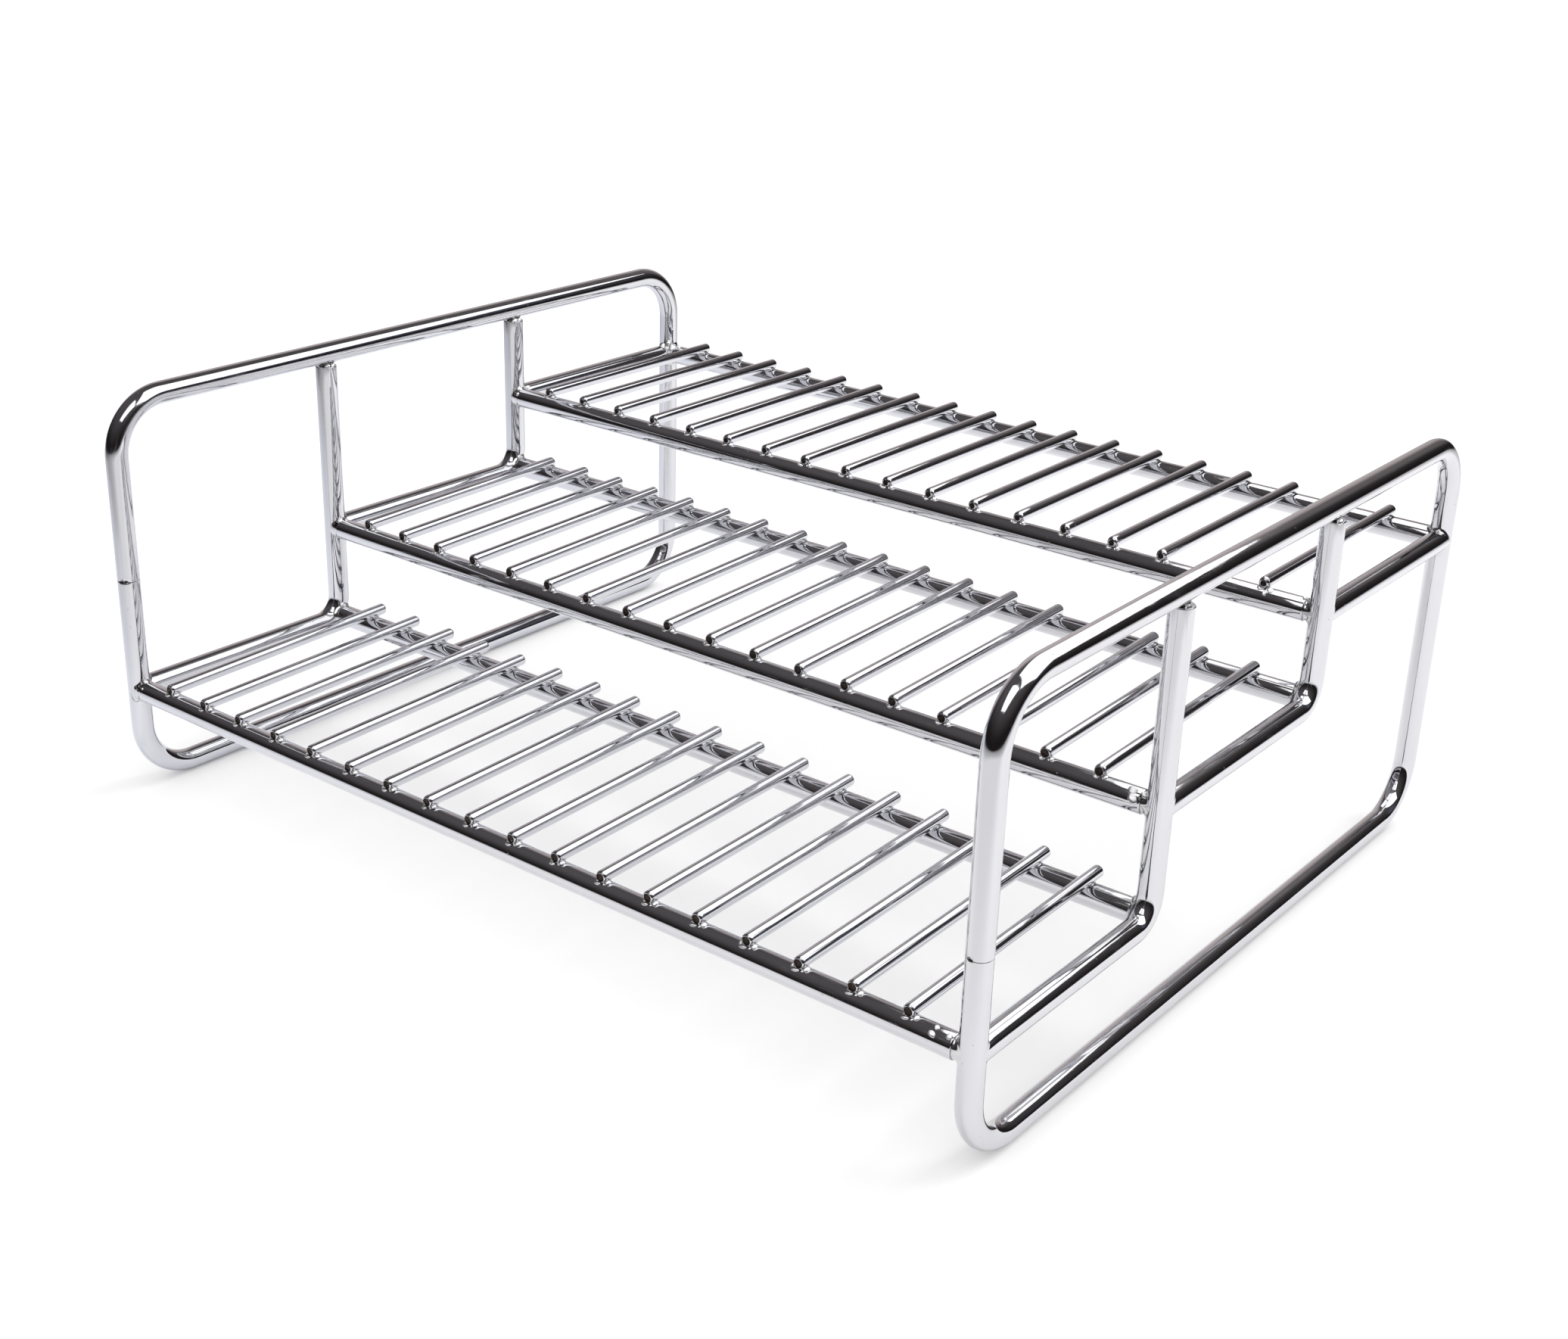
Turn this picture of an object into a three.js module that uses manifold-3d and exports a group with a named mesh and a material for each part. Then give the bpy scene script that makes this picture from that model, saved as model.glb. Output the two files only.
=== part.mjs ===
// Three-tier stepped rack of welded, chrome-plated round steel rod.
//
// Two closed side hoops stand on their bottom runs. Inside each hoop a lower
// and a middle side rod run back from the member in front of them and turn up
// into a riser that butts under the hoop's top run; an upper side rail closes
// the third step. Six long rails join the two sides, two to a tier, and each
// tier carries eighteen thin cross slats set slightly into its rails.
//
// Millimetres. X is the length of the shelves (right is +X), Y runs from the
// low front tier to the high back tier, Z is up. The origin is at the centre
// of the footprint, on the surface that the hoops stand on.

import * as THREE from 'three';
import { mergeVertices } from 'three/addons/utils/BufferGeometryUtils.js';
import Module from 'manifold-3d';

// ---------------------------------------------------------------- dimensions
const HOOP_SPAN = 364;          // centre to centre of the two side hoops
const DEPTH = 300;              // over the hoops, front to back
const HEIGHT = 150;             // over the hoops
const FRAME_R = 4;              // 8 mm frame rod
const SLAT_R = 2.1;             // 4.2 mm slat rod
const HOOP_BEND = 20;           // centre-line radius of a hoop corner
const SIDE_BEND = 10;           // centre-line radius where a side rod turns up
const GAP = 0.3;                // joint gap between neighbouring solids

const LOWER_Z = 39;             // centre height of the lower tier's front rail
const MIDDLE_Z = 77;
const UPPER_Z = 109;
const RISER_1_Y = -51;          // riser of the lower side rods
const RISER_2_Y = 48.5;         // riser of the middle side rods
const REAR_RAIL_DY = -1;        // a rear rail joins the side rod in its bend,
const REAR_RAIL_DZ = 2;         // a little forward of and above the corner

const SLATS = 18;               // on each tier
const SLAT_PITCH = 19;
const SLAT_LIFT = 5.5;          // slat centre above rail centre at the weld
const SLAT_LENGTH = 101.5;      // cut length of a slat, measured along Y
const SLAT_LEAD = [1.7, 1.2, 1.3]; // front overhang past the front rail centre
const JOINED_SLATS = [9, 10, 11]; // slats made in one solid with the rear rail

const LEFT_SEAM_Z = 81.5;       // where the ring of each hoop is closed
const RIGHT_SEAM_Z = 69.5;

const FRAME_SIDES = 12;
const SLAT_SIDES = 10;
const HOOP_STEPS = 7;           // chords in each hoop corner
const SIDE_STEPS = 6;           // chords in each side-rod bend

const LEG_Y = DEPTH / 2 - FRAME_R;
const SIDE_X = HOOP_SPAN / 2;
const UNDER_TOP = HEIGHT - 2 * FRAME_R;

// ----------------------------------------------------------------- materials
const chrome = (hex, roughness) =>
  new THREE.MeshStandardMaterial({ color: hex, metalness: 1, roughness });
const frameChrome = () => chrome(0xe9e9eb, 0.07);
const slatChrome = () => chrome(0xe2e2e5, 0.1);

// ------------------------------------------------------------------- helpers
// A path given by exact stations, each a point and the direction there, so a
// straight run costs one step and a bend is divided evenly.
class RodPath extends THREE.Curve {
  constructor() {
    super();
    this.stations = [];
  }

  add(point, direction) {
    this.stations.push({ point, direction: direction.clone().normalize() });
    return this;
  }

  // A bend in a plane x = constant, about (cy, cz), from angle a0 to a1.
  bend(x, cy, cz, radius, a0, a1, steps) {
    const turn = Math.sign(a1 - a0);
    for (let i = 0; i <= steps; i += 1) {
      const a = a0 + ((a1 - a0) * i) / steps;
      this.add(
        new THREE.Vector3(x, cy + radius * Math.cos(a), cz + radius * Math.sin(a)),
        new THREE.Vector3(0, -turn * Math.sin(a), turn * Math.cos(a)),
      );
    }
    return this;
  }

  get steps() {
    return this.stations.length - 1;
  }

  station(u) {
    return this.stations[Math.round(u * this.steps)];
  }

  getPoint(u, target = new THREE.Vector3()) {
    return target.copy(this.station(u).point);
  }

  getPointAt(u, target) {
    return this.getPoint(u, target);
  }

  getTangent(u, target = new THREE.Vector3()) {
    return target.copy(this.station(u).direction);
  }

  getTangentAt(u, target) {
    return this.getTangent(u, target);
  }
}

// A regular polygon whose flats are at the given radius, two of them level.
function rodSection(radius, sides) {
  const corner = radius / Math.cos(Math.PI / sides);
  const points = [];
  for (let i = 0; i < sides; i += 1) {
    const a = ((i + 0.5) * 2 * Math.PI) / sides;
    points.push(new THREE.Vector2(corner * Math.cos(a), corner * Math.sin(a)));
  }
  return new THREE.Shape(points);
}

function sweep(path, radius, sides) {
  return new THREE.ExtrudeGeometry(rodSection(radius, sides), {
    steps: path.steps,
    curveSegments: 1,
    bevelEnabled: false,
    extrudePath: path,
  });
}

function straight(from, to, radius, sides) {
  const a = new THREE.Vector3(...from);
  const b = new THREE.Vector3(...to);
  const direction = b.clone().sub(a);
  return sweep(new RodPath().add(a, direction).add(b, direction), radius, sides);
}

const wasm = await Module();
wasm.setup();

function toSolid(geometry) {
  const g = geometry.clone();
  g.deleteAttribute('normal');
  g.deleteAttribute('uv');
  const merged = mergeVertices(g, 1e-4);
  return new wasm.Manifold(
    new wasm.Mesh({
      numProp: 3,
      vertProperties: new Float32Array(merged.attributes.position.array),
      triVerts: new Uint32Array(merged.index.array),
    }),
  );
}

function fromSolid(solid) {
  const mesh = solid.getMesh();
  const points = new Float32Array((mesh.vertProperties.length / mesh.numProp) * 3);
  for (let i = 0; i < points.length / 3; i += 1) {
    points[3 * i] = mesh.vertProperties[mesh.numProp * i];
    points[3 * i + 1] = mesh.vertProperties[mesh.numProp * i + 1];
    points[3 * i + 2] = mesh.vertProperties[mesh.numProp * i + 2];
  }
  const geometry = new THREE.BufferGeometry();
  geometry.setAttribute('position', new THREE.BufferAttribute(points, 3));
  geometry.setIndex(new THREE.BufferAttribute(new Uint32Array(mesh.triVerts), 1));
  geometry.computeVertexNormals();
  return geometry;
}

const rack = new THREE.Group();
const mm = (n) => String(n).padStart(2, '0');

function place(parent, name, geometry, material, position = [0, 0, 0]) {
  const mesh = new THREE.Mesh(geometry, material);
  mesh.name = name;
  mesh.position.set(...position);
  parent.add(mesh);
  return mesh;
}

// -------------------------------------------------------------- side hoops
// Each ring is two U-shaped sweeps joined at the back leg and at the seam on
// the front leg, which leaves one closed solid.
function hoopGeometry(seamZ) {
  const inner = LEG_Y - HOOP_BEND;
  const low = FRAME_R + HOOP_BEND;
  const high = HEIGHT - FRAME_R - HOOP_BEND;
  const down = new THREE.Vector3(0, 0, -1);
  const up = new THREE.Vector3(0, 0, 1);
  const lowerHalf = new RodPath()
    .add(new THREE.Vector3(0, -LEG_Y, seamZ), down)
    .bend(0, -inner, low, HOOP_BEND, Math.PI, 1.5 * Math.PI, HOOP_STEPS)
    .bend(0, inner, low, HOOP_BEND, 1.5 * Math.PI, 2 * Math.PI, HOOP_STEPS)
    .add(new THREE.Vector3(0, LEG_Y, HEIGHT / 2), up);
  const upperHalf = new RodPath()
    .add(new THREE.Vector3(0, LEG_Y, HEIGHT / 2), up)
    .bend(0, inner, high, HOOP_BEND, 0, 0.5 * Math.PI, HOOP_STEPS)
    .bend(0, -inner, high, HOOP_BEND, 0.5 * Math.PI, Math.PI, HOOP_STEPS)
    .add(new THREE.Vector3(0, -LEG_Y, seamZ), down);
  const ring = toSolid(sweep(lowerHalf, FRAME_R, FRAME_SIDES)).add(
    toSolid(sweep(upperHalf, FRAME_R, FRAME_SIDES)),
  );
  return fromSolid(ring);
}

// --------------------------------------------------- side rods and risers
// From the member in front, back along the tier and up to the top run.
function sideRodPath(startY, riserY, z, topZ) {
  const back = new THREE.Vector3(0, 1, 0);
  const up = new THREE.Vector3(0, 0, 1);
  return new RodPath()
    .add(new THREE.Vector3(0, startY, z), back)
    .bend(0, riserY - SIDE_BEND, z + SIDE_BEND, SIDE_BEND, -0.5 * Math.PI, 0, SIDE_STEPS)
    .add(new THREE.Vector3(0, riserY, topZ), up);
}

const sideRods = [
  { name: 'lower_side_rod', startY: -LEG_Y + FRAME_R + GAP, riserY: RISER_1_Y, z: LOWER_Z },
  { name: 'middle_side_rod', startY: RISER_1_Y + FRAME_R + GAP, riserY: RISER_2_Y, z: MIDDLE_Z },
];

for (const [side, x, seamZ] of [
  ['left', -SIDE_X, LEFT_SEAM_Z],
  ['right', SIDE_X, RIGHT_SEAM_Z],
]) {
  const end = new THREE.Group();
  end.position.set(x, 0, 0);
  rack.add(end);
  place(end, `${side}_hoop`, hoopGeometry(seamZ), frameChrome());
  for (const rod of sideRods) {
    const path = sideRodPath(rod.startY, rod.riserY, rod.z, UNDER_TOP - GAP);
    place(end, `${side}_${rod.name}`, sweep(path, FRAME_R, FRAME_SIDES), frameChrome());
  }
  place(
    end,
    `${side}_upper_side_rail`,
    straight(
      [0, RISER_2_Y + FRAME_R + GAP, UPPER_Z],
      [0, LEG_Y - FRAME_R - GAP, UPPER_Z],
      FRAME_R,
      FRAME_SIDES,
    ),
    frameChrome(),
  );
}

// ------------------------------------------------------------------- tiers
const tiers = [
  {
    name: 'lower',
    front: [-LEG_Y, LOWER_Z],
    rear: [RISER_1_Y + REAR_RAIL_DY, LOWER_Z + REAR_RAIL_DZ],
  },
  {
    name: 'middle',
    front: [RISER_1_Y, MIDDLE_Z],
    rear: [RISER_2_Y + REAR_RAIL_DY, MIDDLE_Z + REAR_RAIL_DZ],
  },
  {
    name: 'upper',
    front: [RISER_2_Y, UPPER_Z],
    rear: [LEG_Y, UPPER_Z],
  },
];

const slatX = (n) => (n - (SLATS + 1) / 2) * SLAT_PITCH;

// The vertical members that the rail ends are shaped to, one GAP larger.
function endCutters(y, z) {
  const r = FRAME_R + GAP;
  const cutters = [];
  for (const x of [-SIDE_X, SIDE_X]) {
    cutters.push(straight([x, y, z - 12], [x, y, z + 12], r, FRAME_SIDES));
  }
  return cutters;
}

function bendCutters(rod) {
  return [-SIDE_X, SIDE_X].map((x) => {
    const g = sweep(
      sideRodPath(rod.startY, rod.riserY, rod.z, UNDER_TOP),
      FRAME_R + GAP,
      FRAME_SIDES,
    );
    return g.translate(x, 0, 0);
  });
}

tiers.forEach((tier, index) => {
  const [frontY, frontZ] = tier.front;
  const [rearY, rearZ] = tier.rear;
  const slope = (rearZ - frontZ) / (rearY - frontY);
  const slatZ = (y) => frontZ + SLAT_LIFT + (y - frontY) * slope;
  const y0 = frontY - SLAT_LEAD[index];
  const y1 = y0 + SLAT_LENGTH;
  const along = new THREE.Vector3(0, 1, slope).normalize().multiplyScalar(GAP);

  const slatAt = (x, radius, extra) =>
    straight(
      [x, y0 - along.y * extra, slatZ(y0) - along.z * extra],
      [x, y1 + along.y * extra, slatZ(y1) + along.z * extra],
      radius,
      SLAT_SIDES,
    );

  const group = new THREE.Group();
  rack.add(group);

  for (const [where, y, z] of [
    ['front', frontY, frontZ],
    ['rear', rearY, rearZ],
  ]) {
    let solid = toSolid(straight([-SIDE_X, y, z], [SIDE_X, y, z], FRAME_R, FRAME_SIDES));
    const inBend = where === 'rear' && index < 2;
    const cutters = inBend ? bendCutters(sideRods[index]) : endCutters(y, z);
    for (const cutter of cutters) solid = solid.subtract(toSolid(cutter));
    for (let n = 1; n <= SLATS; n += 1) {
      if (where === 'rear' && JOINED_SLATS.includes(n)) {
        solid = solid.add(toSolid(slatAt(slatX(n), SLAT_R, 0)));
      } else {
        solid = solid.subtract(toSolid(slatAt(slatX(n), SLAT_R + GAP, 1)));
      }
    }
    const geometry = fromSolid(solid).translate(0, -y, -z);
    place(group, `${tier.name}_${where}_rail`, geometry, frameChrome(), [0, y, z]);
  }

  const slat = slatAt(0, SLAT_R, 0);
  for (let n = 1; n <= SLATS; n += 1) {
    if (JOINED_SLATS.includes(n)) continue;
    place(group, `${tier.name}_slat_${mm(n)}`, slat, slatChrome(), [slatX(n), 0, 0]);
  }
});

export default rack;
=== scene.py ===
# Three-tier stepped rack of welded, chrome-plated round steel rod.
# Every rod is rebuilt as a smooth round sweep on the same centre line and
# radius as its CAD solid, and every weld gets a fillet of its own.
import math

import bpy
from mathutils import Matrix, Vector, noise


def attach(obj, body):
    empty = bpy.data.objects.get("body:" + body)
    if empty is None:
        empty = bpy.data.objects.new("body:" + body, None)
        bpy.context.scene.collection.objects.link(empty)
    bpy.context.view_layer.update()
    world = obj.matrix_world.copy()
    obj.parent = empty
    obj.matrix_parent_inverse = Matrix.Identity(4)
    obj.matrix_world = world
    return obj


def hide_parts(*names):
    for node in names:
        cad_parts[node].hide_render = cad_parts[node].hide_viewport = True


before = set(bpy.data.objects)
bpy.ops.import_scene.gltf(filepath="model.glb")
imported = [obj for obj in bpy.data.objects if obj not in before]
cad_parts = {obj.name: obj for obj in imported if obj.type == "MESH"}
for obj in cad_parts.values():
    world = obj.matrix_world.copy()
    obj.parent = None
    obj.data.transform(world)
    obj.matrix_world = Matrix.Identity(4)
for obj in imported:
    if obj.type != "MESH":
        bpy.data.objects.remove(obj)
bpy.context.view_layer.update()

MM = 0.001

# ------------------------------------------------------------- dimensions (mm)
R = 4.0                      # frame rod
RS = 2.1                     # slat wire
SIDE_X = 182.0
LEG_Y = 146.0
TOP_Z = 146.0                # centre line of the hoop's top run
BOTTOM_Z = 4.0
HOOP_BEND = 20.0
SIDE_BEND = 10.0
SEAM_Z = {"left": 81.5, "right": 69.5}
NICK = {                     # where the seam is left open, how wide and how deep
    "left": ((0.48, -0.88, 0.0), 0.12, 0.60),
    "right": ((-0.20, -0.98, 0.0), 0.035, 0.30),
}

SIDE_RODS = {                # front end y, riser y, centre height
    "lower": (-LEG_Y, -51.0, 39.0),
    "middle": (-51.0, 48.5, 77.0),
}
TIERS = {                    # front rail (y, z), rear rail (y, z), slat lead
    "lower": ((-146.0, 39.0), (-52.0, 41.0), 1.7),
    "middle": ((-51.0, 77.0), (47.5, 79.0), 1.2),
    "upper": ((48.5, 109.0), (146.0, 109.0), 1.3),
}
SLATS = 18
PITCH = 19.0
LIFT = 5.5
SLAT_LENGTH = 101.5
RAIL_END = -4.9              # cut end of a front rail, from the leg's centre plane

OUT_X, OUT_Y, OUT_Z = SIDE_X + R, LEG_Y + R, TOP_Z + R

FRAME_SIDES = 48
SLAT_SIDES = 32


# ------------------------------------------------------------------ mesh tools
class Mesh:
    """Vertices and faces in millimetres, with a material index per face and a
    darkening value per vertex: real soil at the toe of a weld and in the seam,
    and painted shade on the cut ends of rods and in the gap under a run."""

    def __init__(self):
        self.v, self.f, self.m, self.soil_and_painted_shade = [], [], [], []

    def ring(self, points, soil_and_painted_shade=0.0):
        first = len(self.v)
        self.v.extend(points)
        self.soil_and_painted_shade.extend([soil_and_painted_shade] * len(points) if isinstance(soil_and_painted_shade, float) else soil_and_painted_shade)
        return list(range(first, first + len(points)))

    def bridge(self, a, b, material=0):
        n = len(a)
        for i in range(n):
            j = (i + 1) % n
            self.f.append((a[i], a[j], b[j], b[i]))
            self.m.append(material)

    def fan(self, ring, centre, flip, material=0, soil_and_painted_shade=0.0):
        c = len(self.v)
        self.v.append(centre)
        self.soil_and_painted_shade.append(soil_and_painted_shade)
        n = len(ring)
        for i in range(n):
            j = (i + 1) % n
            self.f.append((ring[j], ring[i], c) if flip else (ring[i], ring[j], c))
            self.m.append(material)


def make(name, mesh, materials, nodes=()):
    data = bpy.data.meshes.new(name)
    # no bead of weld may stand out past the rods that set the overall size
    data.from_pydata([(min(max(p[0], -OUT_X), OUT_X) * MM, min(max(p[1], -OUT_Y), OUT_Y) * MM,
                       min(max(p[2], 0.0), OUT_Z) * MM) for p in mesh.v], [], mesh.f)
    data.validate()
    for material in materials:
        data.materials.append(material)
    data.polygons.foreach_set("material_index", mesh.m)
    data.polygons.foreach_set("use_smooth", [True] * len(mesh.f))
    layer = data.attributes.new("soil_and_painted_shade", "FLOAT", "POINT")
    layer.data.foreach_set("value", mesh.soil_and_painted_shade)
    # all normals out
    import bmesh
    bm = bmesh.new()
    bm.from_mesh(data)
    bmesh.ops.recalc_face_normals(bm, faces=bm.faces)
    bm.to_mesh(data)
    bm.free()
    data.update()
    obj = bpy.data.objects.new(name, data)
    bpy.context.scene.collection.objects.link(obj)
    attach(obj, "root")
    if nodes:
        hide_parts(*nodes)
    return obj


def lump(p, scale, seed):
    """Smooth noise from -1 to 1 at a point in mm."""
    return noise.noise(Vector((p[0] * scale + seed * 7.31, p[1] * scale - seed * 3.7, p[2] * scale + seed * 1.9)))


def circle_ring(centre, u, v, radius, sides, radius_at=None, s=0.0):
    out = []
    for i in range(sides):
        a = 2 * math.pi * i / sides
        r = radius if radius_at is None else radius_at(s, a)
        out.append((centre + u * (r * math.cos(a)) + v * (r * math.sin(a)))[:])
    return out


def end_rings(mesh, centre, direction, u, v, radius, sides, edge, dome, last, cut, flip,
              recess=0.0, seed=0.0):
    """Closes a rod: an oval rounded edge, then a cut face with a slight dome. A
    recess gives the torn, hollow face of a sheared wire instead, with a rim.
    The edge is painted darker towards the face, and the face and hollow take
    the cut material: painted shade."""
    axial, radial = edge if isinstance(edge, tuple) else (edge, edge)
    rings = [last]
    steps = 6

    def ring(r, along, soil_and_painted_shade, ragged=0.0):
        points = []
        for i in range(sides):
            a = 2 * math.pi * i / sides
            c, s = math.cos(a), math.sin(a)
            k = ragged * lump((c * 1.6, s * 1.6, r), 1.0, seed) if ragged else 0.0
            points.append((centre + direction * (along + k) + u * (r * c * (1 + 0.35 * k))
                           + v * (r * s * (1 + 0.35 * k)))[:])
        rings.append(mesh.ring(points, soil_and_painted_shade))

    for k in range(1, steps + 1):
        a = k / steps * math.pi / 2
        ring(radius - radial * (1 - math.cos(a)), axial * math.sin(a), 0.25 * k / steps,
             0.16 * (k / steps) ** 3 if recess else 0.0)
    inner = radius - radial
    if recess:
        for share, drop, ragged in ((0.93, 0.10, 0.16), (0.86, 0.50, 0.14), (0.78, 0.85, 0.12),
                                    (0.60, 1.0, 0.12), (0.30, 1.05, 0.10)):
            ring(inner * share, axial - recess * drop, 0.8, ragged)
        middle = axial - recess * 1.05
    else:
        for share in (0.72, 0.4):
            ring(inner * share, axial + dome * (1 - share * share), 0.3)
        middle = axial + dome
    for k in range(len(rings) - 1):
        mesh.bridge(rings[k], rings[k + 1], cut if k >= steps else 0)
    mesh.fan(rings[-1], (centre + direction * middle)[:], flip, cut, 0.3)


def rod(mesh, stations, radius, sides, side_vector, start_edge=None, end_edge=None,
        closed=False, radius_at=None, cut=0, dome=0.05, recess=(0.0, 0.0), seed=0.0):
    """Sweeps a round section along (point, direction, arc length) stations that
    lie in a plane with the given normal."""
    rings = []
    v = Vector(side_vector)
    for k, (p, t, s) in enumerate(stations):
        u = v.cross(t).normalized()
        rings.append(mesh.ring(circle_ring(p, u, v, radius, sides, radius_at, s)))
    for a, b in zip(rings, rings[1:]):
        mesh.bridge(a, b)
    if closed:
        mesh.bridge(rings[-1], rings[0])
        return
    for which, index, edge in (("start", 0, start_edge), ("end", -1, end_edge)):
        p, t, _ = stations[index]
        d = -t if which == "start" else t
        u = v.cross(t).normalized()
        end_rings(mesh, p, d, u, v, radius, sides, edge or 0.15, dome, rings[index],
                  cut, which == "start", recess[which == "end"], seed + (which == "end") * 5.3)


def line(a, b, n):
    a, b = Vector(a), Vector(b)
    t = (b - a).normalized()
    length = (b - a).length
    return [(a + (b - a) * (i / n), t, length * i / n) for i in range(n + 1)]


def arc(x, cy, cz, radius, a0, a1, n):
    turn = 1 if a1 > a0 else -1
    out = []
    for i in range(n + 1):
        a = a0 + (a1 - a0) * i / n
        out.append((Vector((x, cy + radius * math.cos(a), cz + radius * math.sin(a))),
                    Vector((0, -turn * math.sin(a), turn * math.cos(a))), 0.0))
    return out


def joined(*runs):
    """Chains runs of stations, drops repeated points and measures arc length."""
    out, s = [], 0.0
    for run in runs:
        for p, t, _ in run:
            if out and (p - out[-1][0]).length < 1e-4:
                continue
            if out:
                s += (p - out[-1][0]).length
            out.append((p, t, s))
    return out


# ------------------------------------------------------------------- materials
def chrome(name, tint, rough, wave, scratch, pits, streak_axis):
    """Bright plated steel: a clear tint, very low roughness that drifts and is
    broken by hair scratches, a faint long wave in the plate, and small pits."""
    mat = bpy.data.materials.new(name)
    mat.use_nodes = True
    nt = mat.node_tree
    n, link = nt.nodes, nt.links
    b = n["Principled BSDF"]
    b.inputs["Metallic"].default_value = 1.0

    coord = n.new("ShaderNodeTexCoord")
    mapping = n.new("ShaderNodeMapping")
    link.new(coord.outputs["Object"], mapping.inputs["Vector"])

    # colour: a slow drift between two near-equal chrome tones, and a dark brown where the darkening value is set: real
    # soil at weld toes, painted shade at cut ends and in gaps
    drift = n.new("ShaderNodeTexNoise")
    drift.inputs["Scale"].default_value = 55.0
    drift.inputs["Detail"].default_value = 3.0
    link.new(coord.outputs["Object"], drift.inputs["Vector"])
    ramp = n.new("ShaderNodeMix")
    ramp.data_type = "RGBA"
    ramp.inputs["A"].default_value = (*[c * 0.955 for c in tint], 1)
    ramp.inputs["B"].default_value = (*tint, 1)
    link.new(drift.outputs["Fac"], ramp.inputs["Factor"])
    soil_and_painted_shade = n.new("ShaderNodeAttribute")
    soil_and_painted_shade.attribute_name = "soil_and_painted_shade"
    fleck = n.new("ShaderNodeTexNoise")
    fleck.inputs["Scale"].default_value = 1400.0
    fleck.inputs["Detail"].default_value = 4.0
    link.new(coord.outputs["Object"], fleck.inputs["Vector"])
    soil_and_shade_amount = n.new("ShaderNodeMath")
    soil_and_shade_amount.operation = "MULTIPLY"
    soil_and_shade_amount.use_clamp = True
    link.new(soil_and_painted_shade.outputs["Fac"], soil_and_shade_amount.inputs[0])
    fleck_gain = n.new("ShaderNodeMapRange")
    fleck_gain.inputs["From Min"].default_value = 0.35
    fleck_gain.inputs["From Max"].default_value = 0.62
    link.new(fleck.outputs["Fac"], fleck_gain.inputs["Value"])
    link.new(fleck_gain.outputs["Result"], soil_and_shade_amount.inputs[1])
    # the dark brown below serves both real soil and painted shade
    soil_and_shade_colour = n.new("ShaderNodeMix")
    soil_and_shade_colour.data_type = "RGBA"
    soil_and_shade_colour.inputs["B"].default_value = (0.045, 0.030, 0.024, 1)
    link.new(soil_and_shade_amount.outputs[0], soil_and_shade_colour.inputs["Factor"])
    link.new(ramp.outputs["Result"], soil_and_shade_colour.inputs["A"])

    # pits: sparse small dark specks
    pit = n.new("ShaderNodeTexVoronoi")
    pit.inputs["Scale"].default_value = 210.0
    link.new(coord.outputs["Object"], pit.inputs["Vector"])
    pit_mask = n.new("ShaderNodeMapRange")
    pit_mask.inputs["From Min"].default_value = pits
    pit_mask.inputs["From Max"].default_value = pits * 0.45
    link.new(pit.outputs["Distance"], pit_mask.inputs["Value"])
    speck = n.new("ShaderNodeMix")
    speck.data_type = "RGBA"
    speck.inputs["B"].default_value = (0.2, 0.17, 0.15, 1)
    link.new(pit_mask.outputs["Result"], speck.inputs["Factor"])
    link.new(soil_and_shade_colour.outputs["Result"], speck.inputs["A"])
    link.new(speck.outputs["Result"], b.inputs["Base Color"])

    # roughness: low, drifting, with hair scratches along the rod
    hair_map = n.new("ShaderNodeMapping")
    stretch = [900.0, 900.0, 900.0]
    for axis in streak_axis:
        stretch["XYZ".index(axis)] = 45.0
    hair_map.inputs["Scale"].default_value = stretch
    link.new(coord.outputs["Object"], hair_map.inputs["Vector"])
    hair = n.new("ShaderNodeTexNoise")
    hair.inputs["Scale"].default_value = 1.0
    hair.inputs["Detail"].default_value = 5.0
    hair.inputs["Roughness"].default_value = 0.65
    link.new(hair_map.outputs["Vector"], hair.inputs["Vector"])
    hair_mask = n.new("ShaderNodeMapRange")
    hair_mask.inputs["From Min"].default_value = 0.57
    hair_mask.inputs["From Max"].default_value = 0.74
    link.new(hair.outputs["Fac"], hair_mask.inputs["Value"])
    rough_hair = n.new("ShaderNodeMath")
    rough_hair.operation = "MULTIPLY_ADD"
    rough_hair.inputs[1].default_value = scratch
    link.new(hair_mask.outputs["Result"], rough_hair.inputs[0])
    rough_drift = n.new("ShaderNodeMapRange")
    rough_drift.inputs["To Min"].default_value = rough * 0.6
    rough_drift.inputs["To Max"].default_value = rough * 1.5
    link.new(drift.outputs["Fac"], rough_drift.inputs["Value"])
    link.new(rough_drift.outputs["Result"], rough_hair.inputs[2])
    # haze: rare cloudy patches of fine dull specks where the plate has dulled
    cloud = n.new("ShaderNodeTexNoise")
    cloud.inputs["Scale"].default_value = 38.0
    cloud.inputs["Detail"].default_value = 2.0
    link.new(coord.outputs["Object"], cloud.inputs["Vector"])
    cloud_mask = n.new("ShaderNodeMapRange")
    cloud_mask.inputs["From Min"].default_value = 0.54
    cloud_mask.inputs["From Max"].default_value = 0.72
    link.new(cloud.outputs["Fac"], cloud_mask.inputs["Value"])
    grain = n.new("ShaderNodeTexNoise")
    grain.inputs["Scale"].default_value = 3200.0
    grain.inputs["Detail"].default_value = 3.0
    link.new(coord.outputs["Object"], grain.inputs["Vector"])
    grain_mask = n.new("ShaderNodeMapRange")
    grain_mask.inputs["From Min"].default_value = 0.50
    grain_mask.inputs["From Max"].default_value = 0.72
    link.new(grain.outputs["Fac"], grain_mask.inputs["Value"])
    haze = n.new("ShaderNodeMath")
    haze.operation = "MULTIPLY"
    link.new(cloud_mask.outputs["Result"], haze.inputs[0])
    link.new(grain_mask.outputs["Result"], haze.inputs[1])
    rough_haze = n.new("ShaderNodeMath")
    rough_haze.operation = "MULTIPLY_ADD"
    rough_haze.inputs[1].default_value = 0.13
    link.new(haze.outputs[0], rough_haze.inputs[0])
    link.new(rough_hair.outputs[0], rough_haze.inputs[2])
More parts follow.
